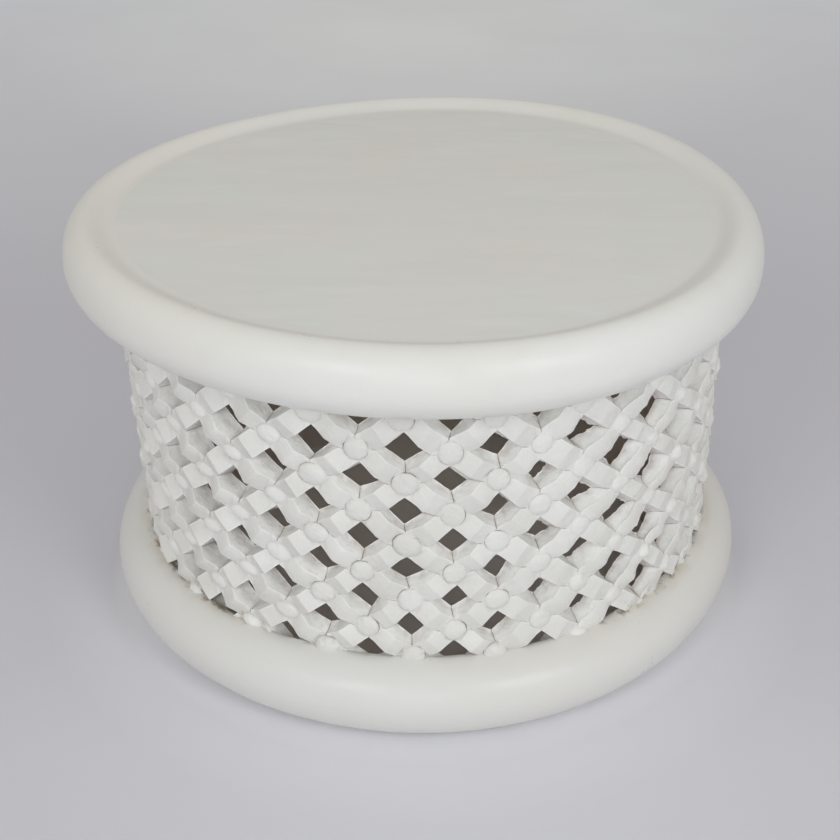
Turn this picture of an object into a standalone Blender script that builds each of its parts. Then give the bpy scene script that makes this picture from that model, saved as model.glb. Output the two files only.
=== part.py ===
"""Carved openwork drum stool: a dished round seat in a thick bullnose rim, a pierced wall, a bullnose foot ring.

Metres, +Z up, the origin on the floor under the middle of the stool, the viewed front towards -Y.
"""
import math

import bmesh
import bpy

# Seat: overall size and the section of its rounded rim
SEAT_RADIUS = 0.300
SEAT_HEIGHT = 0.367
RIM_THICKNESS = 0.0625
RIM_NOSE_DEPTH = 0.033
TRAY_DEPTH = 0.012
TRAY_SLOPE_WIDTH = 0.0195

# Pierced wall: crossing struts on a staggered grid with a round boss at every crossing
PANEL_COUNT = 23
COLUMNS_PER_PANEL = 2
ROW_COUNT = 9
TOP_ROW_SHARE = 0.363
BOTTOM_ROW_SHARE = 0.08
PHASE_DEGREES = -2.4
WALL_SETBACK = 0.0075
WALL_THICKNESS = 0.012
RIM_SEAT_WIDTH = 0.005
RIDGE_HEIGHT = 0.0050
STRUT_HALF_WIDTH = 0.0084
STRUT_BACK_HALF_WIDTH = 0.0097
BOSS_HEIGHT = 0.0045
BOSS_INSET = 0.0013
BOSS_SEAT_SHARE = 0.45
BOSS_TOP_SHARE = 0.88

# Foot ring: a bullnose that stands on a flat ring and carries the wall on a flat shoulder
BASE_OVERHANG = 0.0345
BASE_LOWER_HEIGHT = 0.042
BASE_UPPER_HEIGHT = 0.032
SHOULDER_WIDTH = 0.0095
FOOT_INSET = 0.0445
FOOT_WIDTH = 0.0275

# Clearance between neighbouring pieces, and the fineness of the turned shapes
CLEARANCE = 0.0003
CUT_TOLERANCE = 0.000001
TURN_SEGMENTS = 40
ARC_STEPS = 4
SLOPE_STEPS = 3

# Edges gentler than these angles are shaded smooth on turned and on carved pieces
TURNED_SMOOTH_ANGLE = math.radians(40)
CARVED_SMOOTH_ANGLE = math.radians(20)

SEAT_PAINT = (0.72, 0.71, 0.68)
CARVING_PAINT = (0.78, 0.77, 0.74)

# Radii, from the rim inwards to the wall and outwards again to the foot ring
RIM_NOSE_RADIUS = SEAT_RADIUS - RIM_NOSE_DEPTH
VALLEY_RADIUS = RIM_NOSE_RADIUS - WALL_SETBACK
BACK_RADIUS = VALLEY_RADIUS - WALL_THICKNESS
RIM_INNER_RADIUS = VALLEY_RADIUS - RIM_SEAT_WIDTH
RIM_CREST_RADIUS = RIM_INNER_RADIUS + TRAY_SLOPE_WIDTH
BASE_RADIUS = VALLEY_RADIUS + BASE_OVERHANG
SHOULDER_RADIUS = BACK_RADIUS + SHOULDER_WIDTH
FOOT_RADIUS = BASE_RADIUS - FOOT_INSET
BASE_INNER_RADIUS = FOOT_RADIUS - FOOT_WIDTH

# Heights, and the grid that fills the wall between foot ring and seat
BASE_HEIGHT = BASE_LOWER_HEIGHT + BASE_UPPER_HEIGHT
SEAT_BOTTOM = SEAT_HEIGHT - RIM_THICKNESS
TRAY_HEIGHT = SEAT_HEIGHT - TRAY_DEPTH
WALL_TOP = SEAT_BOTTOM - CLEARANCE
WALL_BOTTOM = BASE_HEIGHT + CLEARANCE
ROW_PITCH = (WALL_TOP - WALL_BOTTOM) / (ROW_COUNT - 1 + TOP_ROW_SHARE + BOTTOM_ROW_SHARE)
TOP_ROW_HEIGHT = WALL_TOP - TOP_ROW_SHARE * ROW_PITCH
COLUMN_ANGLE = 2 * math.pi / (PANEL_COUNT * COLUMNS_PER_PANEL)
COLUMN_PITCH = COLUMN_ANGLE * VALLEY_RADIUS
STRUT_LENGTH = math.hypot(COLUMN_PITCH, ROW_PITCH)

# Ways round a crossing as (sideways, upwards): right, up, left, down
COMPASS = ((1, 0), (0, 1), (-1, 0), (0, -1))
BOSS_CORNERS = ((1, 1), (0, 1), (-1, 1), (-1, -1), (0, -1), (1, -1))


def clear_scene():
    for item in list(bpy.data.objects):
        bpy.data.objects.remove(item, do_unlink=True)


def painted_wood(name, colour, roughness):
    """Chalky white paint over wood, one material for each piece."""
    material = bpy.data.materials.new(name)
    material.use_nodes = True
    shader = material.node_tree.nodes["Principled BSDF"]
    shader.inputs["Base Color"].default_value = (*colour, 1.0)
    shader.inputs["Roughness"].default_value = roughness
    shader.inputs["Metallic"].default_value = 0.0
    return material


def make_object(name, shape, material, smooth_angle):
    """Turns a closed shape into a named object whose gentle edges are shaded smooth."""
    bmesh.ops.recalc_face_normals(shape, faces=shape.faces)
    for face in shape.faces:
        face.smooth = True
    for edge in shape.edges:
        edge.smooth = edge.calc_face_angle(0.0) < smooth_angle
    mesh = bpy.data.meshes.new(name)
    shape.to_mesh(mesh)
    shape.free()
    mesh.materials.append(material)
    piece = bpy.data.objects.new(name, mesh)
    bpy.context.scene.collection.objects.link(piece)
    return piece


def quarter_arc(start, end, rises_first):
    """Points of a quarter ellipse from start to end, start left out.

    It leaves start upwards when rises_first holds, and sideways otherwise.
    """
    points = []
    for step in range(1, ARC_STEPS + 1):
        turn = 0.5 * math.pi * step / ARC_STEPS
        near, far = math.sin(turn), 1.0 - math.cos(turn)
        across, along = (far, near) if rises_first else (near, far)
        radius = start[0] + (end[0] - start[0]) * across
        height = start[1] + (end[1] - start[1]) * along
        points.append((radius, height))
    return points


def turned(profile):
    """Turns a closed outline of (radius, height) points about the vertical axis."""
    shape = bmesh.new()
    rings = []
    for radius, height in profile:
        if radius == 0.0:
            rings.append([shape.verts.new((0.0, 0.0, height))])
            continue
        ring = []
        for segment in range(TURN_SEGMENTS):
            angle = 2 * math.pi * segment / TURN_SEGMENTS
            ring.append(shape.verts.new((radius * math.sin(angle), -radius * math.cos(angle), height)))
        rings.append(ring)
    for index, ring in enumerate(rings):
        other = rings[(index + 1) % len(rings)]
        if len(ring) == 1 and len(other) == 1:
            continue
        for segment in range(TURN_SEGMENTS):
            after = (segment + 1) % TURN_SEGMENTS
            corners = [
                ring[segment % len(ring)],
                ring[after % len(ring)],
                other[after % len(other)],
                other[segment % len(other)],
            ]
            shape.faces.new(list(dict.fromkeys(corners)))
    return shape


def soft_slope(start, end):
    """Points of an S-shaped slope from start to end, level at both, start left out."""
    points = []
    for step in range(1, SLOPE_STEPS + 1):
        share = step / SLOPE_STEPS
        fall = 0.5 - 0.5 * math.cos(math.pi * share)
        radius = start[0] + (end[0] - start[0]) * share
        height = start[1] + (end[1] - start[1]) * fall
        points.append((radius, height))
    return points


def seat_board_outline():
    """Flat board of the tray, as far out as the foot of the rim's inner slope."""
    edge = RIM_INNER_RADIUS - CLEARANCE
    return [(0.0, SEAT_BOTTOM), (edge, SEAT_BOTTOM), (edge, TRAY_HEIGHT), (0.0, TRAY_HEIGHT)]


def rim_outline():
    """Bullnose rim: flat beneath, half round outside, a soft crest and a slope down to the tray."""
    under = (RIM_NOSE_RADIUS, SEAT_BOTTOM)
    widest = (SEAT_RADIUS, SEAT_BOTTOM + 0.5 * RIM_THICKNESS)
    crest = (RIM_CREST_RADIUS, SEAT_HEIGHT)
    points = [(RIM_INNER_RADIUS, SEAT_BOTTOM), under]
    points += quarter_arc(under, widest, False)
    points += quarter_arc(widest, crest, True)
    points += soft_slope(crest, (RIM_INNER_RADIUS, TRAY_HEIGHT))
    return points


def base_outline():
    """Foot ring: flat beneath, rounded outside, a flat shoulder that carries the wall, sloping within."""
    foot = (FOOT_RADIUS, 0.0)
    widest = (BASE_RADIUS, BASE_LOWER_HEIGHT)
    shoulder = (SHOULDER_RADIUS, BASE_HEIGHT)
    points = [(BASE_INNER_RADIUS, 0.0), foot]
    points += quarter_arc(foot, widest, False)
    points += quarter_arc(widest, shoulder, True)
    points.append((BACK_RADIUS, BASE_HEIGHT))
    return points


class WallPanel:
    """A strip of the pierced wall, a few columns wide, from seat to foot ring, as one closed shape."""

    def __init__(self, first_column):
        self.shape = bmesh.new()
        self.known = {}
        self.crossings = []
        for column in range(first_column, first_column + COLUMNS_PER_PANEL):
            for row in range(column % 2, ROW_COUNT, 2):
                self.crossings.append((column, row))
        for crossing in self.crossings:
            self.add_hub(crossing)
            for side in (1, -1):
                for rise in (1, -1):
                    self.add_strut(crossing, side, rise)

    def point(self, crossing, name, across, up, radius):
        """The vertex of this name near a crossing, placed by its offsets along the unrolled wall."""
        key = (crossing, name)
        if key not in self.known:
            column, row = crossing
            angle = math.radians(PHASE_DEGREES) + column * COLUMN_ANGLE + across / VALLEY_RADIUS
            height = TOP_ROW_HEIGHT - row * ROW_PITCH + up
            place = (radius * math.sin(angle), -radius * math.cos(angle), height)
            self.known[key] = self.shape.verts.new(place)
        return self.known[key]

    def hub_corner(self, crossing, side, rise, back):
        """Where the flanks of two neighbouring struts meet, beside, above or below a crossing."""
        half_width = STRUT_BACK_HALF_WIDTH if back else STRUT_HALF_WIDTH
        radius = BACK_RADIUS if back else VALLEY_RADIUS
        across = side * half_width * STRUT_LENGTH / ROW_PITCH
        up = rise * half_width * STRUT_LENGTH / COLUMN_PITCH
        return self.point(crossing, ("corner", side, rise, back), across, up, radius)

    def boss_corner(self, crossing, side, rise, top):
        """A corner of the boss: four stand on the edges of the hub, one above and one below its middle."""
        half_width = STRUT_HALF_WIDTH * STRUT_LENGTH
        if side:
            across = side * (1.0 - BOSS_SEAT_SHARE) * half_width / ROW_PITCH
            up = rise * BOSS_SEAT_SHARE * half_width / COLUMN_PITCH
        else:
            across = 0.0
            up = rise * (half_width / COLUMN_PITCH - BOSS_INSET)
        share = BOSS_TOP_SHARE if top else 1.0
        radius = VALLEY_RADIUS + BOSS_HEIGHT if top else VALLEY_RADIUS
        return self.point(crossing, ("boss", side, rise, top), share * across, share * up, radius)

    def add_hub(self, crossing):
        """The crossing itself: a round boss between four small floors in front, flat behind."""
        east, north, west, south = [self.hub_corner(crossing, *way, False) for way in COMPASS]
        self.shape.faces.new([self.hub_corner(crossing, *way, True) for way in COMPASS])
        foot = [self.boss_corner(crossing, *way, False) for way in BOSS_CORNERS]
        top = [self.boss_corner(crossing, *way, True) for way in BOSS_CORNERS]
        right_up, up, left_up, left_down, down, right_down = foot
        self.shape.faces.new([east, right_up, right_down])
        self.shape.faces.new([west, left_down, left_up])
        self.shape.faces.new([north, left_up, up, right_up])
        self.shape.faces.new([south, right_down, down, left_down])
        for index, corner in enumerate(foot):
            self.shape.faces.new([foot[index - 1], corner, top[index], top[index - 1]])
        self.shape.faces.new(top)

    def strut_corner(self, crossing, side, rise, flank, back):
        """A corner of the strut's middle section, on its upper or outer flank or on the other one."""
        column, row = crossing
        joined = (column + side, row - rise) in self.crossings
        reach = 0.5 if joined else 0.5 - 0.5 * CLEARANCE / STRUT_LENGTH
        half_width = STRUT_BACK_HALF_WIDTH if back else STRUT_HALF_WIDTH
        radius = BACK_RADIUS if back else VALLEY_RADIUS + RIDGE_HEIGHT
        across = side * (reach * COLUMN_PITCH - flank * half_width * ROW_PITCH / STRUT_LENGTH)
        up = rise * (reach * ROW_PITCH + flank * half_width * COLUMN_PITCH / STRUT_LENGTH)
        return self.point(crossing, ("strut", side, rise, flank, back), across, up, radius)

    def add_strut(self, crossing, side, rise):
        """A strut with a ridge across its middle: whole inside the strip, half at the strip's edge."""
        column, row = crossing
        partner = (column + side, row - rise)
        if partner not in self.crossings:
            self.add_half_strut(crossing, side, rise)
        elif side > 0:
            self.add_whole_strut(crossing, partner, rise)

    def add_whole_strut(self, first, second, rise):
        """Front facets from both crossings up to the shared ridge, five-sided flanks and a flat back."""
        over, beside = self.hub_corner(first, 0, rise, False), self.hub_corner(first, 1, 0, False)
        far_over, far_beside = self.hub_corner(second, 0, -rise, False), self.hub_corner(second, -1, 0, False)
        over_back, beside_back = self.hub_corner(first, 0, rise, True), self.hub_corner(first, 1, 0, True)
        far_over_back = self.hub_corner(second, 0, -rise, True)
        far_beside_back = self.hub_corner(second, -1, 0, True)
        ridge_over = self.strut_corner(first, 1, rise, 1, False)
        ridge_beside = self.strut_corner(first, 1, rise, -1, False)
        near_boss = self.boss_corner(first, 1, rise, False)
        far_boss = self.boss_corner(second, -1, -rise, False)
        self.shape.faces.new([over, near_boss, beside, ridge_beside, ridge_over])
        self.shape.faces.new([far_over, far_boss, far_beside, ridge_over, ridge_beside])
        self.shape.faces.new([over, ridge_over, far_beside, far_beside_back, over_back])
        self.shape.faces.new([beside, beside_back, far_over_back, far_over, ridge_beside])
        self.shape.faces.new([over_back, far_beside_back, far_over_back, beside_back])

    def add_half_strut(self, crossing, side, rise):
        """Half a strut that ends at its ridge, closed there by a cap."""
        over, beside = self.hub_corner(crossing, 0, rise, False), self.hub_corner(crossing, side, 0, False)
        over_back = self.hub_corner(crossing, 0, rise, True)
        beside_back = self.hub_corner(crossing, side, 0, True)
        ridge = [self.strut_corner(crossing, side, rise, flank, False) for flank in (1, -1)]
        end = [self.strut_corner(crossing, side, rise, flank, True) for flank in (1, -1)]
        near_boss = self.boss_corner(crossing, side, rise, False)
        self.shape.faces.new([over, near_boss, beside, ridge[1], ridge[0]])
        self.shape.faces.new([over, ridge[0], end[0], over_back])
        self.shape.faces.new([beside, beside_back, end[1], ridge[1]])
        self.shape.faces.new([over_back, end[0], end[1], beside_back])
        upper = 0 if rise > 0 else 1
        lower = 1 - upper
        # Facing caps are folded along the same diagonal, so the gap between them stays even
        self.shape.faces.new([ridge[upper], ridge[lower], end[lower]])
        self.shape.faces.new([ridge[upper], end[lower], end[upper]])

    def trim(self, height, keep_below):
        """Cuts the strip level at a height and closes the cut."""
        every = self.shape.verts[:] + self.shape.edges[:] + self.shape.faces[:]
        bmesh.ops.bisect_plane(
            self.shape,
            geom=every,
            dist=CUT_TOLERANCE,
            plane_co=(0.0, 0.0, height),
            plane_no=(0.0, 0.0, 1.0),
            clear_outer=keep_below,
            clear_inner=not keep_below,
        )
        loose = [edge for edge in self.shape.edges if edge.is_boundary]
        bmesh.ops.holes_fill(self.shape, edges=loose, sides=0)

    def finished(self):
        bmesh.ops.triangulate(self.shape, faces=self.shape.faces)
        self.trim(WALL_TOP, True)
        self.trim(WALL_BOTTOM, False)
        bmesh.ops.triangulate(self.shape, faces=self.shape.faces)
        return self.shape


def turned_piece(name, outline, paint, roughness):
    make_object(name, turned(outline), painted_wood(name, paint, roughness), TURNED_SMOOTH_ANGLE)


def lattice_panel(index):
    name = f"lattice_panel_{index + 1:02d}"
    panel = WallPanel(index * COLUMNS_PER_PANEL)
    make_object(name, panel.finished(), painted_wood(name, CARVING_PAINT, 0.6), CARVED_SMOOTH_ANGLE)


def build():
    clear_scene()
    turned_piece("base_ring", base_outline(), CARVING_PAINT, 0.55)
    turned_piece("rim_ring", rim_outline(), CARVING_PAINT, 0.5)
    turned_piece("seat_board", seat_board_outline(), SEAT_PAINT, 0.5)
    for index in range(PANEL_COUNT):
        lattice_panel(index)


build()
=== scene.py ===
"""Carved openwork drum stool, painted chalky white: its fine carving, its paint and its stage."""
import math

import bmesh
import bpy
import numpy as np
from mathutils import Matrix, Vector, noise


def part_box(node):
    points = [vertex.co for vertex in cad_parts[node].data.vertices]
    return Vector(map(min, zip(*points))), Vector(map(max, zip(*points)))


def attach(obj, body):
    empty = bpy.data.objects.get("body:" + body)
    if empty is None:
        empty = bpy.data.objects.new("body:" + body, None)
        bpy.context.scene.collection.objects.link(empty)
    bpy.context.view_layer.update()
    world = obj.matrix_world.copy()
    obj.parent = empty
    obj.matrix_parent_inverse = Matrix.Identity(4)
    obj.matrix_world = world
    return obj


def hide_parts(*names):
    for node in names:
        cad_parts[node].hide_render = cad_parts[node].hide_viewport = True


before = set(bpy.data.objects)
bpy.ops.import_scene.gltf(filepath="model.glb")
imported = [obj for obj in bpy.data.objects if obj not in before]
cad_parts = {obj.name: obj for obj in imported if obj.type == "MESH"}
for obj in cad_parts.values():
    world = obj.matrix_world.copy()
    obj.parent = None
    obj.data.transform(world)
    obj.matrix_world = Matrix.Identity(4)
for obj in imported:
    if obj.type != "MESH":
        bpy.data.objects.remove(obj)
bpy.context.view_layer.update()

# Sizes of the frame that the carving follows, in metres as everywhere below
RIM_LOW, RIM_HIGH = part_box("rim_ring")
PANEL_LOW, PANEL_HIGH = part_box("lattice_panel_01")
BOARD_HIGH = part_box("seat_board")[1]
BASE_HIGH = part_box("base_ring")[1]
PANELS = sorted(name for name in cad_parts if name.startswith("lattice_panel"))
SEAT_RADIUS = RIM_HIGH.x
SEAT_HEIGHT = RIM_HIGH.z
SEAT_BOTTOM = RIM_LOW.z
TRAY_RADIUS = BOARD_HIGH.x
BASE_RADIUS = BASE_HIGH.x
WALL_TOP = PANEL_HIGH.z
WALL_BOTTOM = PANEL_LOW.z

# Section of the seat: the painted tray stands a little above the solid one
TRAY_LIFT = 0.0045
TRAY_HEIGHT = BOARD_HIGH.z + TRAY_LIFT
TRAY_EDGE_RADIUS = 0.2590
TRAY_MIDDLE_RADIUS = 0.012
TRAY_DISH = 0.0012
TRAY_RIPPLE = 0.0004
RIPPLE_SIZE = 0.035
RIM_NOSE_DEPTH = 0.040
RIM_CREST_RADIUS = 0.278
RIM_LUMPS = 0.0006

# Section of the foot ring, with the shoulder before the wall and the sill behind it
BASE_WIDEST_HEIGHT = 0.042
BASE_INNER_RADIUS = 0.222
BASE_LUMPS = 0.0005
FOOT_RADIUS = 0.2495
SHOULDER_RADIUS = 0.2590
SHOULDER_HEIGHT = 0.0748
SHOULDER_BAND = 0.004
SILL_HEIGHT = 0.0630
BACK_RADIUS = 0.2475

# Hand-cut waves of the outlines: how many round the ring, height of the wave, angle of its crest in degrees
RIM_WAVES = ((1, 0.0030, 93), (2, 0.0039, -44), (3, 0.0053, 28), (4, 0.0007, -30))
BASE_WAVES = ((1, 0.0015, 104), (2, 0.0019, -35), (3, 0.0010, -42), (4, 0.0010, 13))
ALONG_WAVES = ((0, 0.0004, 0), (1, 0.0009, -49), (2, 0.0008, -63))
UP_WAVES = ((0, -0.0042, 0), (1, 0.0013, 90), (2, 0.0046, -28))
WAVE_START = 0.10
WAVE_FULL = 0.25

# Lumps of handwork on turned pieces and on the foot's shoulder: size, share or height, seed
SWELLS = ((0.07, 1.0, 2.0), (0.03, 0.5, 5.0))
SWELL_START = 0.02
SHOULDER_LUMPS = ((0.012, 0.0009, 6.0), (0.005, 0.0007, 8.0))

# Lumps of paint on the wall: size, height, what the height gains where the carving is blurred, seed
CLOTS = ((0.015, 0.0005, 0.0009, 4.0), (0.006, 0.0004, 0.0007, 9.0), (0.0028, 0.0003, 0.0002, 12.0))

# Lean above the foot ring, and flare of the wall with the places across and up where it sets in and is full
LEAN = -0.0075
LEAN_START = 0.054
LEAN_HEIGHT = 0.240
FLARE_LOW = 0.0035
FLARE_RISE = 0.0045
FLARE_TOP = 0.0035
FLARE_RIGHT_SIDE = (0.08, 0.25)
FLARE_LEFT_SIDE = (-0.15, -0.25)
FLARE_CLIMB = (0.06, 0.30)
FLARE_UNDER_SEAT = (0.270, 0.305)

# Degrees to the right of the front where a change of the carving starts, is full, fades and is gone
BLURRED_RIGHT = (8, 42, 80, 97)
BLURRED_LEFT = (-56, -74, -90, -104)
CLOGGED_SIDES = (45, 62, 88, 104)
CRISP_LEFT = (-10, -34, -58, -80)
ROUNDED_LEFT = (-12, -32, -75, -105)

# Grid of the pierced wall
RING = len(PANELS)
ROW_COUNT = 9
SPARE_ROWS = 2
TOP_ROW_SHARE = 0.24
BOTTOM_ROW_SHARE = 0.08
PHASE = math.radians(-2.4)
VALLEY_RADIUS = 0.2595
WALL_THICKNESS = 0.0075
ROW_PITCH = (WALL_TOP - WALL_BOTTOM) / (ROW_COUNT - 1 + TOP_ROW_SHARE + BOTTOM_ROW_SHARE)
TOP_ROW_HEIGHT = WALL_TOP - TOP_ROW_SHARE * ROW_PITCH
COLUMN_PITCH = math.pi * VALLEY_RADIUS / RING
TOP_EMBED = 0.0015
BOTTOM_EMBED = 0.0100

# Struts and bosses
STRUT_LENGTH = math.hypot(COLUMN_PITCH, ROW_PITCH)
STRUT_HALF_WIDTH = 0.0087
STRUT_BACK_HALF_WIDTH = 0.0127
RIDGE_HEIGHT = 0.0043
ARM_START = 0.0121
VALLEY_END = 0.0100
KERF_WIDTH = 0.0006
KERF_DEPTH = 0.0016
KERF_RISE = 0.02
EDGE_DROP = 0.0003
EDGE_FALL = 0.08
SCOOP = 0.0006
BOSS_RADIUS = 0.0101
BOSS_HEIGHT = 0.0025
KNOB_HEIGHT = 0.0050

# Unevenness of the carving: spread of places, then spread of sizes as shares
CROSSING_SPREAD = 0.0007
FRONT_SPREAD = 0.0009
BACK_SPREAD = 0.0016
BOSS_SPREAD = 0.0004
RIDGE_SPREAD = 0.10
STATION_SPREAD = 0.03
BOSS_SIZE_SPREAD = 0.04
BOSS_HEIGHT_SPREAD = 0.18
BOSS_OVAL_SPREAD = 0.03
BOSS_TILT_SPREAD = 0.05
BOSS_ROUGHNESS = 0.09
CREASE_ROUGHNESS = 0.22

# Blurred and frayed carving
BLUR_WEIGHT = 0.6
BLUR_ROUNDS = 30
RAGGED = 0.0040
COARSE_FRAY = 0.0045
FINE_FRAY = 0.002
HOLLOW_WEIGHT = 0.5
HOLLOW_ROUNDS = 8
HOLLOW_DEPTH = 0.0010

# Camera that took the picture
CAMERA_PLACE = (-0.0044, -1.1377, 0.8107)
CAMERA_PITCH = 0.5302
FOCAL_PIXELS = 1399.8
FRAME_PIXELS = 840
SENSOR_WIDTH = 36.0

# Light and floor
SKY_STRENGTH = 0.55
SKY_LOW = (1.0, 0.955, 0.87, 1.0)
SKY_HIGH = (1.0, 0.98, 0.945, 1.0)
BACKDROP = (0.47, 0.47, 0.485, 1.0)
LAMP_COLOUR = (0.90, 0.95, 1.0)
FLOOR_REACH = 40.0

TURN_SEGMENTS = 240
SEED = 7


# Shared shapes

def smooth_step(low, high, value):
    """0 at low, 1 at high, smooth between them and level outside them, whichever of the two is larger."""
    share = np.clip((value - low) / (high - low), 0.0, 1.0)
    return share * share * (3.0 - 2.0 * share)


def between(limits, degrees):
    """Share that starts at the first limit, is full from the second to the third, is gone at the fourth."""
    start, full, fading, gone = limits
    return smooth_step(start, full, degrees) * smooth_step(gone, fading, degrees)


def softness(angle):
    """Share by which thick paint and worn tools blurred the carving: on the right and at the far left."""
    degrees = np.degrees(angle)
    return np.maximum(between(BLURRED_RIGHT, degrees), between(BLURRED_LEFT, degrees))


def clogged(angle):
    """Share by which paint has narrowed the openings: far round on both sides."""
    return between(CLOGGED_SIDES, np.abs(np.degrees(angle)))


def crispness(angle):
    """Share by which the carving is deep and clean: left of the middle."""
    return between(CRISP_LEFT, np.degrees(angle))


def outlined(angle):
    """Share by which the bosses keep their cut outline: where they are neither rounded off nor blurred."""
    return (1.0 - between(ROUNDED_LEFT, np.degrees(angle))) * (1.0 - softness(angle))


def axis_distance(points):
    return np.hypot(points[:, 0], points[:, 1])


def drum_angle(points):
    """Angle round the drum, 0 at the front and positive to the right."""
    return np.arctan2(points[:, 0], -points[:, 1])


def outward(points):
    """Level directions away from the axis."""
    level = points * (1.0, 1.0, 0.0)
    return level / np.maximum(np.linalg.norm(level, axis=1, keepdims=True), 1e-9)


def leaned(points):
    """The stool leans a little to one side above its foot ring."""
    share = np.clip((points[:, 2] - LEAN_START) / LEAN_HEIGHT, 0.0, 1.0)
    moved = points.copy()
    moved[:, 0] += LEAN * share
    return moved


def flared(points):
    """The wall stands out on its right, more so higher up, and both sides turn out just under the seat."""
    across, height = points[:, 0], points[:, 2]
    right = smooth_step(*FLARE_RIGHT_SIDE, across)
    left = smooth_step(*FLARE_LEFT_SIDE, across)
    moved = points.copy()
    moved[:, 0] += right * (FLARE_LOW + FLARE_RISE * smooth_step(*FLARE_CLIMB, height))
    moved[:, 0] += (right - left) * FLARE_TOP * smooth_step(*FLARE_UNDER_SEAT, height)
    return moved


def wave_at(angle, waves):
    """Height of all the waves together at every angle."""
    total = np.zeros_like(angle)
    for count, height, crest in waves:
        total += height * np.cos(count * (angle - math.radians(crest)))
    return total


def lumps(points, size, seed):
    """Smooth noise between about -1 and 1 at every point, with lumps of the given size."""
    shift = np.array((seed * 3.7, seed * 1.9, seed * 5.3))
    places = points / size + shift
    return np.array([noise.noise(place) for place in places])


def make_piece(name, points, faces, material, smooth_angle):
    """A mesh of the object, shaded smooth except at edges sharper than the angle."""
    mesh = bpy.data.meshes.new(name)
    mesh.from_pydata(points.tolist(), [], faces)
    mesh.validate()
    mesh.shade_smooth()
    mesh.set_sharp_from_angle(angle=math.radians(smooth_angle))
    mesh.materials.append(material)
    piece = bpy.data.objects.new(name, mesh)
    bpy.context.scene.collection.objects.link(piece)
    return piece


def place(piece, slot, *nodes):
    """Puts a finished piece on the stool in the place of its solids."""
    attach(piece, "root")
    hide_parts(*nodes)


# Turned pieces: an outline is a list of (radius, height) points

def stepped(start, end, across, up):
    """Points from start to end, at the given shares of the way across and of the way up."""
    radius = start[0] + (end[0] - start[0]) * across
    height = start[1] + (end[1] - start[1]) * up
    return list(zip(radius, height))


def arc(start, end, rises_first, steps):
    """Quarter ellipse from start to end, start left out, leaving start upwards or else sideways."""
    turn = 0.5 * math.pi * np.arange(1, steps + 1) / steps
    near, far = np.sin(turn), 1.0 - np.cos(turn)
    if rises_first:
        return stepped(start, end, far, near)
    return stepped(start, end, near, far)


def straight(start, end, steps):
    """Even points from start to end, start left out."""
    share = np.arange(1, steps + 1) / steps
    return stepped(start, end, share, share)


def soft_slope(start, end, steps):
    """Slope from start to end that is a little steeper in its middle, start left out."""
    share = np.arange(1, steps + 1) / steps
    fall = 0.25 * share + 0.75 * (0.5 - 0.5 * np.cos(math.pi * share))
    return stepped(start, end, share, fall)


def turned(profile, waves, lump_height, closed):
    """Turns an outline about the axis and gives it the waves and lumps of hand work."""
    angle = 2 * math.pi * np.arange(TURN_SEGMENTS) / TURN_SEGMENTS
    radius = np.array([point[0] for point in profile])[:, None]
    height = np.array([point[1] for point in profile])[:, None]
    reach = radius + wave_at(angle, waves)[None, :] * smooth_step(WAVE_START, WAVE_FULL, radius)
    grid = np.stack(np.broadcast_arrays(reach * np.sin(angle), -reach * np.cos(angle), height), axis=-1)
    points = grid.reshape(-1, 3)
    swell = sum(share * lumps(points, size, seed) for size, share, seed in SWELLS)
    free = smooth_step(TRAY_RADIUS, TRAY_RADIUS + SWELL_START, axis_distance(points))
    points = points + outward(points) * (lump_height * swell * free)[:, None]
    faces = []
    rings = len(profile)
    for ring in range(rings if closed else rings - 1):
        after = (ring + 1) % rings
        for turn in range(TURN_SEGMENTS):
            beside = (turn + 1) % TURN_SEGMENTS
            faces.append((ring * TURN_SEGMENTS + turn, ring * TURN_SEGMENTS + beside,
                          after * TURN_SEGMENTS + beside, after * TURN_SEGMENTS + turn))
    return points, faces


def with_middles(points, faces, profile):
    """Closes the first and the last ring of a turned shape with a fan round the axis."""
    last = (len(profile) - 1) * TURN_SEGMENTS
    middles = np.array([(0.0, 0.0, profile[0][1]), (0.0, 0.0, profile[-1][1])])
    first_middle = len(points)
    for turn in range(TURN_SEGMENTS):
        beside = (turn + 1) % TURN_SEGMENTS
        faces.append((beside, turn, first_middle))
        faces.append((last + turn, last + beside, first_middle + 1))
    return np.concatenate([points, middles]), faces


def build_tray(material):
    """The board that is sat on: very slightly dished, its edge level with the foot of the rim's slope."""
    profile = [(TRAY_MIDDLE_RADIUS, SEAT_BOTTOM)]
    profile += straight(profile[0], (TRAY_RADIUS, SEAT_BOTTOM), 6)
    profile += [(TRAY_RADIUS, TRAY_HEIGHT)]
    profile += straight(profile[-1], (TRAY_MIDDLE_RADIUS, TRAY_HEIGHT), 24)
    points, faces = turned(profile, RIM_WAVES, 0.0, False)
    points, faces = with_middles(points, faces, profile)
    top = points[:, 2] > TRAY_HEIGHT - 0.001
    distance = axis_distance(points) / TRAY_RADIUS
    sink = np.clip(1.0 - distance ** 2, 0.0, 1.0) ** 2
    grain_way = points * (0.4, 1.0, 1.0)
    ripple = TRAY_RIPPLE * lumps(grain_way, RIPPLE_SIZE, 3.0) * smooth_step(1.0, 0.85, distance)
    points[top, 2] += ripple[top] - TRAY_DISH * sink[top]
    piece = make_piece("seat_tray", leaned(points), faces, material, 40)
    place(piece, "seat_paint", "seat_board")


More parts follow.
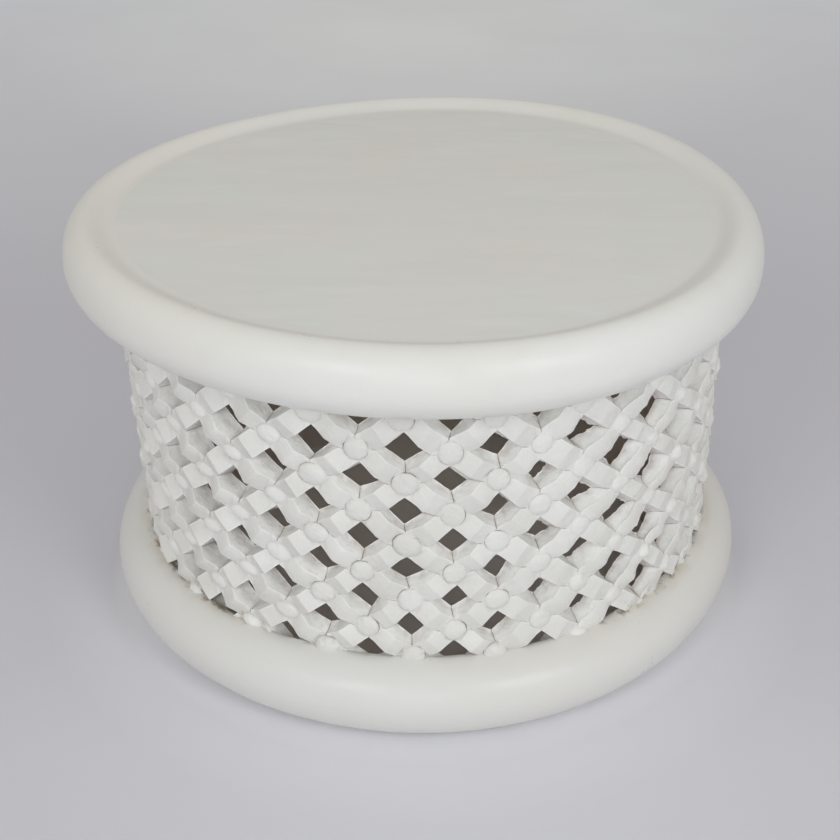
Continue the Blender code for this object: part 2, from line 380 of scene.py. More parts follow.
def build_rim(material):
    """The bullnose rim with its soft crest and the slope down to the tray."""
    under = (SEAT_RADIUS - RIM_NOSE_DEPTH, SEAT_BOTTOM)
    widest = (SEAT_RADIUS, 0.5 * (SEAT_BOTTOM + SEAT_HEIGHT))
    crest = (RIM_CREST_RADIUS, SEAT_HEIGHT)
    slope_end = (TRAY_EDGE_RADIUS, TRAY_HEIGHT)
    profile = [(TRAY_RADIUS, SEAT_BOTTOM)]
    profile += straight(profile[0], under, 3)
    profile += arc(under, widest, False, 14)
    profile += arc(widest, crest, True, 16)
    profile += soft_slope(crest, slope_end, 12)
    profile += straight(slope_end, (TRAY_RADIUS, TRAY_HEIGHT), 3)
    points, faces = turned(profile, RIM_WAVES, RIM_LUMPS, True)
    piece = make_piece("seat_rim", leaned(points), faces, material, 50)
    place(piece, "rim_paint", "rim_ring")


def build_foot_ring(material):
    """The bullnose ring on the floor, flat beneath, with the shoulder that carries the wall."""
    foot = (FOOT_RADIUS, 0.0)
    widest = (BASE_RADIUS, BASE_WIDEST_HEIGHT)
    shoulder = (SHOULDER_RADIUS, SHOULDER_HEIGHT)
    sill = (BACK_RADIUS, SILL_HEIGHT)
    profile = [(BASE_INNER_RADIUS, 0.0)]
    profile += straight(profile[0], foot, 3)
    profile += arc(foot, widest, False, 14)
    profile += arc(widest, shoulder, True, 14)
    profile += straight(shoulder, sill, 4)
    profile += straight(sill, profile[0], 6)[:-1]
    points, faces = turned(profile, BASE_WAVES, BASE_LUMPS, True)
    raised = smooth_step(SHOULDER_HEIGHT - SHOULDER_BAND, SHOULDER_HEIGHT, points[:, 2])
    points[:, 2] += raised * sum(height * lumps(points, size, seed) for size, height, seed in SHOULDER_LUMPS)
    piece = make_piece("foot_ring", leaned(points), faces, material, 50)
    place(piece, "base_paint", "base_ring")


# Pierced wall: arrays are indexed by row, then by place round the ring, and hold (along, up, out) offsets

EAST, NORTH, WEST, SOUTH = range(4)
WAYS = np.array([(1.0, 0.0), (0.0, 1.0), (-1.0, 0.0), (0.0, -1.0)])
ROWS = ROW_COUNT + 2 * SPARE_ROWS
LOWEST_ROW = SPARE_ROWS + ROW_COUNT - 1
STAGGER = (np.arange(ROWS) - SPARE_ROWS) % 2
SHARP_ANGLE = math.atan2(ROW_PITCH, COLUMN_PITCH)

# Stations along a strut, places across it and its crown where the carving is blurred
STATIONS = np.array([0.0, 0.24, 0.48, 0.72, 0.92])
ARM_STATIONS = ARM_START + (0.5 * STRUT_LENGTH - ARM_START) * STATIONS
SPAN_STATIONS = np.concatenate([ARM_STATIONS, [0.5 * STRUT_LENGTH], STRUT_LENGTH - ARM_STATIONS[::-1]])
ACROSS = np.array([0.0, 0.07, 0.5, 0.93, 1.0])
CROWN = 0.0008 * np.array([0.0, 0.4, 1.0, 0.4, 0.0])

# Rings of a boss from its foot to its top: share of the radius, and height where cut, rounded off or blurred
BOSS_SHARES = np.array([1.07, 1.0, 0.98, 0.93, 0.82, 0.6, 0.3])
CUT_BOSS = np.array([0.0, -0.35, 0.2, 0.55, 0.78, 0.94, 1.0])
ROUND_BOSS = np.array([0.0, 0.1, 0.15, 0.27, 0.5, 0.83, 1.0])
MERGED_BOSS = np.array([0.0, 0.02, 0.03, 0.08, 0.24, 0.62, 0.92])
CREASE_RING = 2
TOP_RING = 5

# Rings of an opening from front to back: share of the way to the back outline, and of the depth
DEPTHS = np.array([0.0, 0.06, 0.3, 0.6, 0.86, 1.0])
SINKS = np.array([0.0, 0.06, 0.32, 0.66, 0.97, 1.0])

# Dirt in the four kerfs of an opening, and painted shade deep under its upper left strut on the crisp side
KERF_GRIME = (0.7, 0.2, 0.9, 1.0)
PAINTED_CEILING_SHADE = ((0.3,), (0.55,), (0.65,))
CEILING_RING = 3

# Tones of a point: dirt and painted shade, white of worn edges and painted light, hold against blurring, dust
TONES = ("grime", "edge", "firm", "dust")


def neighbour(values, side, rise):
    """The same values at the crossing to the right or left, one row up or down."""
    rows = (np.arange(ROWS) - rise) % ROWS
    places = np.arange(RING)[None, :] + STAGGER[:, None] + (0 if side > 0 else -1)
    return values[rows[:, None], places % RING]


def step_to(rise):
    """From a crossing to the next one on the right, one row up or down, on the unrolled wall."""
    return np.array((COLUMN_PITCH, rise * ROW_PITCH, 0.0))


def flank_shares(starts_near):
    """Where the stations of a strut lie along one of its flanks, from corner to corner."""
    near = STRUT_HALF_WIDTH * math.tan(SHARP_ANGLE)
    far = STRUT_HALF_WIDTH / math.tan(SHARP_ANGLE)
    start, end = (near, STRUT_LENGTH - far) if starts_near else (far, STRUT_LENGTH - near)
    kerf = KERF_WIDTH / (end - start)
    inner = (SPAN_STATIONS - start) / (end - start)
    return np.concatenate([[0.0, kerf], inner, [1.0 - kerf, 1.0]])


def ridge_profile():
    """Height of the stations of a strut as a share of its ridge, valleys at both ends."""
    rise = (SPAN_STATIONS - VALLEY_END) / (0.5 * STRUT_LENGTH - VALLEY_END)
    fall = (STRUT_LENGTH - SPAN_STATIONS - VALLEY_END) / (0.5 * STRUT_LENGTH - VALLEY_END)
    share = np.minimum(rise, fall)
    return np.concatenate([[0.0, KERF_RISE], share, [KERF_RISE, 0.0]])


class Wall:
    """The net of crossings, struts and openings, gathered as grids of points."""

    def __init__(self):
        self.random = np.random.default_rng(SEED)
        self.grids = []
        self.along = (2 * np.arange(RING)[None, :] + STAGGER[:, None]) * COLUMN_PITCH
        self.height = TOP_ROW_HEIGHT - (np.arange(ROWS) - SPARE_ROWS)[:, None] * ROW_PITCH
        angle = PHASE + self.along / VALLEY_RADIUS
        angle = np.where(angle > math.pi, angle - 2 * math.pi, angle)
        self.soft = softness(angle)[..., None]
        self.half_soft = self.soft * (1.0 - self.soft)
        self.shut = clogged(angle)[..., None]
        self.crisp = crispness(angle)[..., None]
        self.outlined = outlined(angle)[..., None]
        self.shift = self.scatter(CROSSING_SPREAD, 2)
        self.shift[..., 0] += wave_at(angle, ALONG_WAVES)
        self.shift[..., 1] += wave_at(angle, UP_WAVES)
        half_width = STRUT_HALF_WIDTH * self.varied(crisp=0.07, soft=-0.20, half_soft=0.95, shut=0.24)
        back_width = STRUT_BACK_HALF_WIDTH * self.varied(crisp=-0.10, soft=-0.15, half_soft=0.85, shut=0.30)
        thickness = WALL_THICKNESS * self.varied(crisp=0.65, soft=0.20, half_soft=3.0, shut=0.50)
        self.front = self.corners(half_width, FRONT_SPREAD, 0.0)
        self.back = self.corners(back_width, BACK_SPREAD, -thickness)
        self.heights = {}
        self.struts = {rise: self.strut(rise) for rise in (1, -1)}

    def varied(self, crisp=0.0, soft=0.0, half_soft=0.0, shut=0.0):
        """1 plus what is gained where the carving is crisp, blurred, half blurred or clogged with paint."""
        gain = crisp * self.crisp + soft * self.soft
        return 1.0 + gain + half_soft * self.half_soft + shut * self.shut

    def scatter(self, spread, size):
        """Random offsets for every crossing."""
        return np.clip(self.random.normal(0.0, spread, (ROWS, RING, size)), -2 * spread, 2 * spread)

    def corners(self, half_width, spread, depth):
        """Where the flanks of neighbouring struts meet, on four sides of every crossing."""
        reach = half_width * (1.0 / math.sin(SHARP_ANGLE), 1.0 / math.cos(SHARP_ANGLE))
        places = np.zeros((ROWS, RING, 4, 3))
        for way in range(4):
            places[:, :, way, :2] = self.shift + WAYS[way] * reach + self.scatter(spread, 2)
        places[..., 2] = depth
        return places

    def strut(self, rise):
        """Edges of the struts that leave every crossing to the right: both flanks, front and back."""
        outer_way = NORTH if rise > 0 else SOUTH
        far_way = SOUTH if rise > 0 else NORTH
        uneven = 1.0 + self.scatter(RIDGE_SPREAD, 1)
        height = RIDGE_HEIGHT * self.varied(crisp=0.32, soft=0.05) * uneven * ridge_profile()
        self.heights[rise] = height
        edges = {}
        for side, corners in (("front", self.front), ("back", self.back)):
            there = neighbour(corners, 1, rise) + step_to(rise)
            for flank, start, end, near in (
                ("outer", corners[:, :, outer_way], there[:, :, WEST], True),
                ("inner", corners[:, :, EAST], there[:, :, far_way], False),
            ):
                even = flank_shares(near)
                share = even + self.scatter(STATION_SPREAD, 1) * (1.0 - np.abs(2.0 * even - 1.0))
                share = share[..., None]
                line = start[:, :, None] * (1.0 - share) + end[:, :, None] * share
                if side == "front":
                    line[..., 2] += (1.0 - EDGE_FALL) * height - EDGE_DROP
                edges[side, flank] = line
        return edges

    def facets(self, rise):
        """Front of the struts: stations along by points across, a little lower at both edges."""
        edges = self.struts[rise]
        outer = edges["front", "outer"][:, :, 2:-2, None]
        inner = edges["front", "inner"][:, :, 2:-2, None]
        across = ACROSS[:, None]
        grid = outer * (1.0 - across) + inner * across
        grid[:, :, :, 1:-1, 2] += EDGE_FALL * self.heights[rise][:, :, 2:-2, None] + EDGE_DROP
        grid[..., 2] += CROWN * self.soft[..., None]
        return grid

    def hub_border(self):
        """Points round every crossing, counter-clockwise from the right-hand corner."""
        facets = {rise: self.facets(rise) for rise in (1, -1)}
        left_up = neighbour(facets[-1], -1, 1) - step_to(-1)
        left_down = neighbour(facets[1], -1, -1) - step_to(1)
        start = {}
        end = {}
        for rise in (1, -1):
            for flank in ("outer", "inner"):
                line = self.struts[rise]["front", flank]
                start[rise, flank] = line
                end[rise, flank] = neighbour(line, -1, -rise) - step_to(rise)
        border = [
            start[1, "inner"][:, :, :2],
            facets[1][:, :, 0, ::-1],
            start[1, "outer"][:, :, 1::-1],
            end[-1, "inner"][:, :, -2:-1],
            left_up[:, :, -1, ::-1],
            end[-1, "outer"][:, :, -2:],
            end[1, "outer"][:, :, -2:-1],
            left_down[:, :, -1],
            end[1, "inner"][:, :, -2:],
            start[-1, "outer"][:, :, 1:2],
            facets[-1][:, :, 0],
            start[-1, "inner"][:, :, 1:2],
        ]
        return np.concatenate(border, axis=2)

    def creases(self, angle):
        """Share by which each boss is cut free of its crossing, along its foot: mostly at one side."""
        way = self.random.uniform(0.0, 2.0 * math.pi, (ROWS, RING, 1))
        wander = 0.35 * np.cos(3.0 * angle - 2.0 * way) + 0.2 * np.cos(7.0 * angle + way)
        wander = wander + self.random.normal(0.0, CREASE_ROUGHNESS, (ROWS, RING, len(angle)))
        return np.clip(0.25 + 0.5 * np.cos(angle - way) + wander, 0.0, 1.0) * self.outlined

    def hubs(self):
        """Valley floor round every boss, the crease at its foot, its wall and its low dome."""
        border = self.hub_border()
        count = border.shape[2]
        angle = 2 * math.pi * np.arange(count) / count
        circle = np.stack([np.cos(angle), np.sin(angle), np.zeros(count)], axis=-1)
        centre = np.zeros((ROWS, RING, 1, 3))
        centre[..., 0, :2] = self.shift + self.scatter(BOSS_SPREAD, 2)
        size = self.scatter(BOSS_SIZE_SPREAD, 1) - 0.14 * self.crisp ** 2 + self.varied(soft=-0.22)
        radius = BOSS_RADIUS * size[..., None]
        uneven = 1.0 + self.scatter(BOSS_HEIGHT_SPREAD, 1)
        height = BOSS_HEIGHT * self.varied(crisp=-0.16, soft=0.40) * uneven
        height[LOWEST_ROW] = KNOB_HEIGHT
        crease = self.creases(angle)
        oval = self.scatter(BOSS_OVAL_SPREAD, 1)
        oval_way = self.scatter(1.5, 1)
        stretch = 1.0 + (oval * np.cos(2.0 * angle + oval_way))[..., None]
        squash = np.ones((ROWS, RING, 1, 3))
        squash[..., 0, :1] = self.varied(crisp=0.20)
        squash[..., 0, 1:2] = self.varied(crisp=-0.22)
        tilt = self.scatter(BOSS_TILT_SPREAD, 2) @ circle[:, :2].T
        rings = [border]
        for share, cut, rounded, merged in zip(BOSS_SHARES, CUT_BOSS, ROUND_BOSS, MERGED_BOSS):
            plain = merged + (rounded - merged) * self.outlined
            ring = centre + share * radius * stretch * circle * squash
            ring[..., 2] = height * (plain + (cut - plain) * crease)
            ring[..., 2] += rounded * share * BOSS_RADIUS * tilt
            ring[..., 2] += height * share ** 2 * self.random.normal(0.0, BOSS_ROUGHNESS, (ROWS, RING, count))
            rings.append(ring)
        middle = np.repeat(rings[-1].mean(axis=2, keepdims=True), count, axis=2)
        rings.append(middle)
        return np.stack(rings, axis=2), crease

    def opening(self, side):
        """Loop round every opening, from the crossing on its left over the one above it."""
        above = neighbour(self.struts[-1][side, "outer"], 1, 1) + step_to(1)
        below = neighbour(self.struts[1][side, "outer"], 1, -1) + step_to(-1)
        return np.concatenate([
            self.struts[1][side, "inner"][:, :, :-1],
            above[:, :, :-1],
            below[:, :, :0:-1],
            self.struts[-1][side, "inner"][:, :, :0:-1],
        ], axis=2)

    def tunnels(self):
        """Flanks of every opening from its front to its back edge, scooped, with a kerf in each corner."""
        front, back = self.opening("front"), self.opening("back")
        count = front.shape[2]
        corner = np.zeros(count)
        corner[::count // 4] = 1.0
        away = (front - front.mean(axis=2, keepdims=True)) * (1.0, 1.0, 0.0)
        away /= np.linalg.norm(away, axis=-1, keepdims=True)
        rings = []
        for depth, sink in zip(DEPTHS, SINKS):
            bulge = 4.0 * depth * (1.0 - depth)
            scoop = SCOOP * bulge * self.varied(soft=3.0)
            kerf = KERF_DEPTH * corner * min(1.0, 3.0 * bulge) * self.varied(soft=-0.2)
            ring = front * (1.0 - depth) + back * depth + away * (scoop + kerf)[..., None]
            ring[..., 2] = front[..., 2] * (1.0 - sink) + back[..., 2] * sink
            rings.append(ring)
        return np.stack(rings, axis=2)

    def backs(self, rise):
        """Plain back of the struts."""
        edges = self.struts[rise]
        return np.stack([edges["back", "outer"], edges["back", "inner"]], axis=3)

    def hub_backs(self):
        """Plain back of the crossings."""
        right_up = self.back[:, :, (EAST, NORTH)]
        left_down = self.back[:, :, (SOUTH, WEST)]
        return np.stack([right_up, left_down], axis=2)

    def add(self, grid, closed, **tones):
        """Keeps a grid of points per crossing on the unrolled wall, with its tones, which else are 0."""
        placed = grid.copy()
        placed[..., 0] += self.along[:, :, None, None]
        placed[..., 1] += self.height[:, :, None, None]
        shades = np.zeros(grid.shape[:-1] + (len(TONES),))
        for name, values in tones.items():
            shades[..., TONES.index(name)] = values
        self.grids.append((placed, shades, closed))

    def add_hubs(self):
        """Bosses, with dirt in their creases and painted highlights on their tops on the crisp and the
        blurred sides.
        """
        hubs, crease = self.hubs()
        grime = np.zeros(hubs.shape[:-1])
        grime[:, :, CREASE_RING] = 0.9 * crease
        # Whiter boss tops are painted highlights
        white = np.zeros(hubs.shape[:-1])
        white[:, :, TOP_RING:] = (0.8 * self.crisp + 0.4 * self.soft)[..., None]
        firm = np.zeros(hubs.shape[2:4])
        firm[CREASE_RING:] = 0.85
        self.add(hubs, True, grime=grime, edge=white, firm=firm)

    def add_tunnels(self):
        """Openings, with dirty kerfs, painted shade deep on the crisp side, a worn front edge, flanks
        whitened with painted light under dust and a painted highlight along the back edge.
        """
        tunnels = self.tunnels()
        rings, count = tunnels.shape[2:4]
        quarter = count // 4
        kerfs = np.zeros((rings, count))
        kerfs[:, ::quarter] = KERF_GRIME
        grime = np.broadcast_to(kerfs, tunnels.shape[:-1]).copy()
        grime[:, :, -2:] = np.maximum(grime[:, :, -2:], 0.45 * self.soft[..., None])
        # Painted shade deep under the upper left strut, on the crisp side
        ceiling = grime[:, :, CEILING_RING:, :quarter + 1]
        ceiling[...] = np.maximum(ceiling, self.crisp[..., None] * PAINTED_CEILING_SHADE)
        # The edge tone: worn white on the front edge, painted light on the flanks, a painted highlight along
        # the back edge
        worn = np.zeros(tunnels.shape[:-1])
        worn[:, :, 0] = 0.4 + 0.4 * np.maximum(self.crisp, self.soft)
        worn[:, :, 1:-2] = 0.8
        worn[:, :, -2:] = 1.0
        firm = np.ones((rings, count))
        firm[0] = 0.4
        firm[1] = 0.7
        dust = np.zeros(tunnels.shape[:-1])
        dust[:, :, 1:] = 0.8 - 0.7 * self.soft[..., None]
        self.add(tunnels, True, grime=grime, edge=worn, firm=firm, dust=dust)

    def gather(self):
        """Collects every grid of the net."""
        for rise in (1, -1):
            self.add(self.facets(rise), False)
            self.add(self.backs(rise), False, firm=1.0)
        self.add_hubs()
        self.add_tunnels()
        self.add(self.hub_backs(), False, firm=1.0)


def grid_faces(grid, closed, first):
    """Quads of a stack of grids whose points are numbered from first."""
    rows, columns = grid.shape[-3], grid.shape[-2]
    numbers = first + np.arange(grid[..., 0].size).reshape(-1, rows, columns)
    if closed:
        numbers = np.concatenate([numbers, numbers[:, :, :1]], axis=2)
    here, below = numbers[:, :-1], numbers[:, 1:]
    quads = np.stack([here[:, :, :-1], below[:, :, :-1], below[:, :, 1:], here[:, :, 1:]], axis=-1)
    return quads.reshape(-1, 4)


def rolled_up(points):
    """From (along, up, out) on the unrolled wall to the drum."""
    angle = PHASE + points[:, 0] / VALLEY_RADIUS
    radius = VALLEY_RADIUS + points[:, 2]
    return np.stack([radius * np.sin(angle), -radius * np.cos(angle), points[:, 1]], axis=-1)


def blurred(points, quads, weight, rounds):
    """Blurs the relief but not the outline: each distance from the axis nears those of its neighbours."""
    ends = np.concatenate([quads[:, (0, 1)], quads[:, (1, 2)], quads[:, (2, 3)], quads[:, (3, 0)]])
    ends = np.unique(np.sort(ends[ends[:, 0] != ends[:, 1]], axis=1), axis=0)
    both = np.concatenate([ends, ends[:, ::-1]])
    count = np.maximum(np.bincount(both[:, 0], minlength=len(points)), 1)
    start = axis_distance(points)
    distance = start.copy()
    for _ in range(rounds):
        mean = np.bincount(both[:, 0], distance[both[:, 1]], len(points)) / count
        distance += weight * (mean - distance)
    return points * np.stack([distance / start, distance / start, np.ones_like(start)], axis=-1)


def frayed(points, seed):
    """Fine and finer lumps that fray an edge."""
    return lumps(points, COARSE_FRAY, seed) + 0.6 * lumps(points, FINE_FRAY, seed + 3.0)


def ragged(points, reach):
    """Frays edges along the wall and up and down it."""
    along = np.stack([-points[:, 1], points[:, 0], np.zeros(len(points))], axis=-1)
    along /= np.linalg.norm(along, axis=1, keepdims=True)
    moved = points + along * (reach * frayed(points, 14.0))[:, None]
    moved[:, 2] += reach * frayed(points, 21.0)
    return moved


def wall_mesh():
    """Points and faces of the whole net, its grids sewn together, and the tones that its paint uses."""
    wall = Wall()
    wall.gather()
    keep = slice(1, ROWS - 1)
    points = []
    tones = []
    quads = []
    first = 0
    for grid, shades, closed in wall.grids:
        used = grid[keep]
        quads.append(grid_faces(used, closed, first))
        points.append(used.reshape(-1, 3))
        tones.append(shades[keep].reshape(-1, len(TONES)))
        first += len(points[-1])
    placed = rolled_up(np.concatenate(points))
    keys = np.round(placed * 1e6).astype(np.int64)
    kept, sewn = np.unique(keys, axis=0, return_index=True, return_inverse=True)[1:]
    sewn = sewn.reshape(-1)
    quads = sewn[np.concatenate(quads)]
    net = placed[kept]
    shade = np.zeros((len(net), len(TONES)))
    np.maximum.at(shade, sewn, np.concatenate(tones))
    grime, edge, firm, dust = shade.T
    angle = drum_angle(net)
    soft = softness(angle)
    net = blurred(net, quads, BLUR_WEIGHT * soft * (1.0 - firm), BLUR_ROUNDS)
    net = ragged(net, RAGGED * soft * (1.3 - soft) * smooth_step(0.8, 1.0, edge))
    sunk = axis_distance(blurred(net, quads, HOLLOW_WEIGHT, HOLLOW_ROUNDS)) - axis_distance(net)
    hollow = np.clip(sunk / HOLLOW_DEPTH, 0.0, 1.0)
    hollow *= (1.0 - 0.7 * soft) * (1.0 - 0.6 * crispness(angle))
    faces = []
    for quad in quads.tolist():
        corners = list(dict.fromkeys(quad))
        if len(corners) > 2:
            faces.append(corners)
    return net, faces, {"grime": grime, "edge": edge, "hollow": hollow, "dust": dust}


def trim(shape, height, keep_below):
    """Cuts the net level at a height and closes the cut."""
    every = shape.verts[:] + shape.edges[:] + shape.faces[:]
    bmesh.ops.bisect_plane(
        shape,
        geom=every,
        dist=1e-6,
        plane_co=(0.0, 0.0, height),
        plane_no=(0.0, 0.0, 1.0),
        clear_outer=keep_below,
        clear_inner=not keep_below,
    )
    loose = [edge for edge in shape.edges if edge.is_boundary]
    bmesh.ops.holes_fill(shape, edges=loose, sides=0)


def drop_crumbs(shape):
    """Deletes the bits that the level cuts leave loose: all but the part with the most points."""
    unseen = set(shape.verts)
    whole = set()
    while len(unseen) > len(whole):
        part = {unseen.pop()}
        waiting = list(part)
        while waiting:
            vert = waiting.pop()
            beside = {edge.other_vert(vert) for edge in vert.link_edges} - part
            part |= beside
            waiting.extend(beside)
        unseen -= part
        whole = max(whole, part, key=len)
    crumbs = [vert for vert in shape.verts if vert not in whole]
    bmesh.ops.delete(shape, geom=crumbs, context="VERTS")


def build_wall(material):
    """The pierced drum between foot ring and seat, sunk a little into both."""
    points, faces, tones = wall_mesh()
    soft = softness(drum_angle(points))
    clots = sum((height + gain * soft) * lumps(points, size, seed) for size, height, gain, seed in CLOTS)
    points = points + outward(points) * clots[:, None]
    piece = make_piece("pierced_wall", leaned(flared(points)), faces, material, 180)
    for name, values in tones.items():
        layer = piece.data.attributes.new(name, "FLOAT", "POINT")
        layer.data.foreach_set("value", np.ascontiguousarray(values))
    shape = bmesh.new()
    shape.from_mesh(piece.data)
    trim(shape, WALL_TOP + TOP_EMBED, True)
    trim(shape, WALL_BOTTOM - BOTTOM_EMBED, False)
    drop_crumbs(shape)
    bmesh.ops.recalc_face_normals(shape, faces=shape.faces)
    shape.to_mesh(piece.data)
    shape.free()
    piece.data.set_sharp_from_angle(angle=math.radians(50))
    place(piece, "lattice_paint", *PANELS)


# Paint

class Paint:
    """A painted surface whose nodes are added step by step."""

    def __init__(self, name):
        self.material = bpy.data.materials.new(name)
        self.material.use_nodes = True
        self.tree = self.material.node_tree
        self.shader = self.tree.nodes["Principled BSDF"]
        self.where = self.tree.nodes.new("ShaderNodeTexCoord").outputs["Object"]

    def add(self, kind, inputs, **settings):
        """A node with its settings; an input is a value or the output of another node."""
        node = self.tree.nodes.new(kind)
        for name, value in settings.items():
            setattr(node, name, value)
        for name, value in inputs.items():
            if isinstance(value, bpy.types.NodeSocket):
                self.tree.links.new(value, node.inputs[name])
            else:
                node.inputs[name].default_value = value
        return node

    def noise(self, scale, detail=4.0, stretch=(1.0, 1.0, 1.0), distortion=0.0):
        spot = self.add("ShaderNodeMapping", {"Vector": self.where, "Scale": stretch}).outputs["Vector"]
        inputs = {"Vector": spot, "Scale": scale, "Detail": detail, "Distortion": distortion}
        return self.add("ShaderNodeTexNoise", inputs).outputs["Fac"]

    def rise(self, value, low, high, top=1.0):
        """Climbs from 0 to top as the value goes from low to high."""
        inputs = {"Value": value, "From Min": low, "From Max": high, "To Max": top}
        return self.add("ShaderNodeMapRange", inputs).outputs["Result"]

    def fall(self, value, low, high, top=1.0):
        """Drops from top to 0 as the value goes from low to high."""
        inputs = {"Value": value, "From Min": low, "From Max": high, "To Min": top, "To Max": 0.0}
        return self.add("ShaderNodeMapRange", inputs).outputs["Result"]

    def times(self, first, second):
        return self.add("ShaderNodeMath", {0: first, 1: second}, operation="MULTIPLY").outputs["Value"]

    def plus(self, first, second):
        return self.add("ShaderNodeMath", {0: first, 1: second}, operation="ADD").outputs["Value"]

    def blend(self, share, first, second):
        """From the first colour to the second."""
        inputs = {"Factor": share, "A": first, "B": second}
        node = self.add("ShaderNodeMix", {}, data_type="RGBA")
        for name, value in inputs.items():
            socket = next(part for part in node.inputs if part.name == name and part.enabled)
            if isinstance(value, bpy.types.NodeSocket):
                self.tree.links.new(value, socket)
            else:
                socket.default_value = (*value, 1.0)
        return next(part for part in node.outputs if part.enabled)

    def attribute(self, name):
        return self.add("ShaderNodeAttribute", {}, attribute_name=name).outputs["Fac"]

    def axis(self, letter):
        """Place along one axis of the frame."""
        return self.add("ShaderNodeSeparateXYZ", {"Vector": self.where}).outputs[letter]

    def vector(self, operation, first, second):
        node = self.add("ShaderNodeVectorMath", {0: first, 1: second}, operation=operation)
        return next(part for part in node.outputs if part.enabled)

    def distance(self):
        """Distance from the upright axis."""
        flat = self.vector("MULTIPLY", self.where, (1.0, 1.0, 0.0))
        return self.vector("DISTANCE", flat, (0.0, 0.0, 0.0))

    def sideways(self):
        """1 on the left and right of the stool, 0 at its front and back."""
        across = self.axis("X")
        return self.rise(self.times(across, across), 0.014, 0.028)

    def inward(self):
        """1 on faces that look to the upright axis."""
        about_one_long = self.vector("MULTIPLY", self.where, (4.0, 4.0, 0.0))
        facing = self.tree.nodes.new("ShaderNodeNewGeometry").outputs["Normal"]
        return self.fall(self.vector("DOT_PRODUCT", about_one_long, facing), -0.85, -0.65)

    def finished(self, colour, roughness, relief, depth):
        """Joins colour, roughness and relief to the shader."""
        self.tree.links.new(colour, self.shader.inputs["Base Color"])
        self.tree.links.new(roughness, self.shader.inputs["Roughness"])
        bump = self.add("ShaderNodeBump", {"Height": relief, "Distance": depth, "Strength": 0.8})
        self.tree.links.new(bump.outputs["Normal"], self.shader.inputs["Normal"])
        self.shader.inputs["Specular IOR Level"].default_value = 0.35
        return self.material


def tray_paint():
    """Thin chalky coat over the board, the grain showing through as faint streaks."""
    cool, warm = (0.79, 0.80, 0.775), (0.81, 0.79, 0.755)
    worn_thin, chalk = (0.755, 0.755, 0.72), (0.84, 0.84, 0.82)
    paint = Paint("tray_paint")
    clouds = paint.rise(paint.noise(9.0, detail=3.0), 0.4, 0.65)
    streaks = paint.noise(8.0, detail=3.0, stretch=(0.9, 3.2, 1.0), distortion=1.0)
    wisps = paint.noise(20.0, stretch=(0.6, 2.4, 1.0), distortion=1.2)
    colour = paint.blend(clouds, cool, warm)
    colour = paint.blend(paint.rise(streaks, 0.42, 0.72, 0.6), colour, worn_thin)
    colour = paint.blend(paint.rise(wisps, 0.56, 0.75, 0.5), colour, chalk)
    grain = paint.noise(14.0, detail=5.0, stretch=(1.0, 14.0, 1.0))
    relief = paint.plus(paint.times(grain, 0.5), paint.times(paint.noise(300.0), 0.5))
    return paint.finished(colour, paint.rise(streaks, -0.6, 0.9, 0.75), relief, 0.00025)


def ring_paint(name, colour, tinge):
    """Thicker coat on the rounded rings: a yellower tinge in patches, greyer touches and a few specks."""
    greyed, speck = (0.74, 0.73, 0.69), (0.52, 0.46, 0.38)
    paint = Paint(name)
    patches = paint.rise(paint.noise(4.5, detail=3.0), 0.45, 0.75, 0.8)
    touches = paint.rise(paint.noise(30.0, detail=5.0), 0.5, 0.8, 0.3)
    specks = paint.rise(paint.noise(120.0, detail=2.0), 0.79, 0.81, 0.4)
    shade = paint.blend(patches, colour, tinge)
    shade = paint.blend(touches, shade, greyed)
    shade = paint.blend(specks, shade, speck)
    relief = paint.plus(paint.times(paint.noise(60.0, detail=3.0), 0.7), paint.times(paint.noise(500.0), 0.3))
    roughness = paint.rise(paint.noise(25.0), -0.5, 0.9, 0.48)
    return paint, shade, roughness, relief


def rim_paint():
    """Painted warm shade on the left, and as thin as on the tray at the foot of its inner slope."""
    white, tinge = (0.82, 0.82, 0.79), (0.80, 0.785, 0.72)
    warm_shade_left, thin = (0.815, 0.795, 0.735), (0.79, 0.785, 0.755)
    paint, shade, roughness, relief = ring_paint("rim_paint", white, tinge)
    # Painted warm shade on the left side
    shade = paint.blend(paint.fall(paint.axis("X"), -0.28, -0.10, 0.7), shade, warm_shade_left)
    shade = paint.blend(paint.fall(paint.distance(), 0.256, 0.264), shade, thin)
    return paint.finished(shade, roughness, relief, 0.0003)


def foot_paint():
    """As the rim, with brown dirt where the wall stands on the ring and scuffs along the floor."""
    white, tinge = (0.765, 0.76, 0.735), (0.75, 0.73, 0.68)
    stained, dirt = (0.60, 0.55, 0.44), (0.30, 0.23, 0.17)
    bare_wood, scuffed = (0.72, 0.64, 0.57), (0.52, 0.49, 0.44)
    paint, shade, roughness, relief = ring_paint("foot_paint", white, tinge)
    before_wall = paint.fall(paint.distance(), 0.262, 0.274)
    stain = paint.times(before_wall, paint.rise(paint.noise(35.0), 0.35, 0.65, 0.7))
    shade = paint.blend(paint.times(stain, paint.sideways()), shade, stained)
    at_wall = paint.fall(paint.distance(), 0.262, 0.267)
    crumbs = paint.times(at_wall, paint.rise(paint.noise(110.0), 0.52, 0.62, 0.8))
    shade = paint.blend(paint.times(crumbs, paint.sideways()), shade, dirt)
    shade = paint.blend(paint.inward(), shade, bare_wood)
    near_floor = paint.fall(paint.axis("Z"), 0.002, 0.012)
    scuffs = paint.times(near_floor, paint.rise(paint.noise(40.0), 0.35, 0.7, 0.6))
    shade = paint.blend(scuffs, shade, scuffed)
    return paint.finished(shade, roughness, relief, 0.0004)


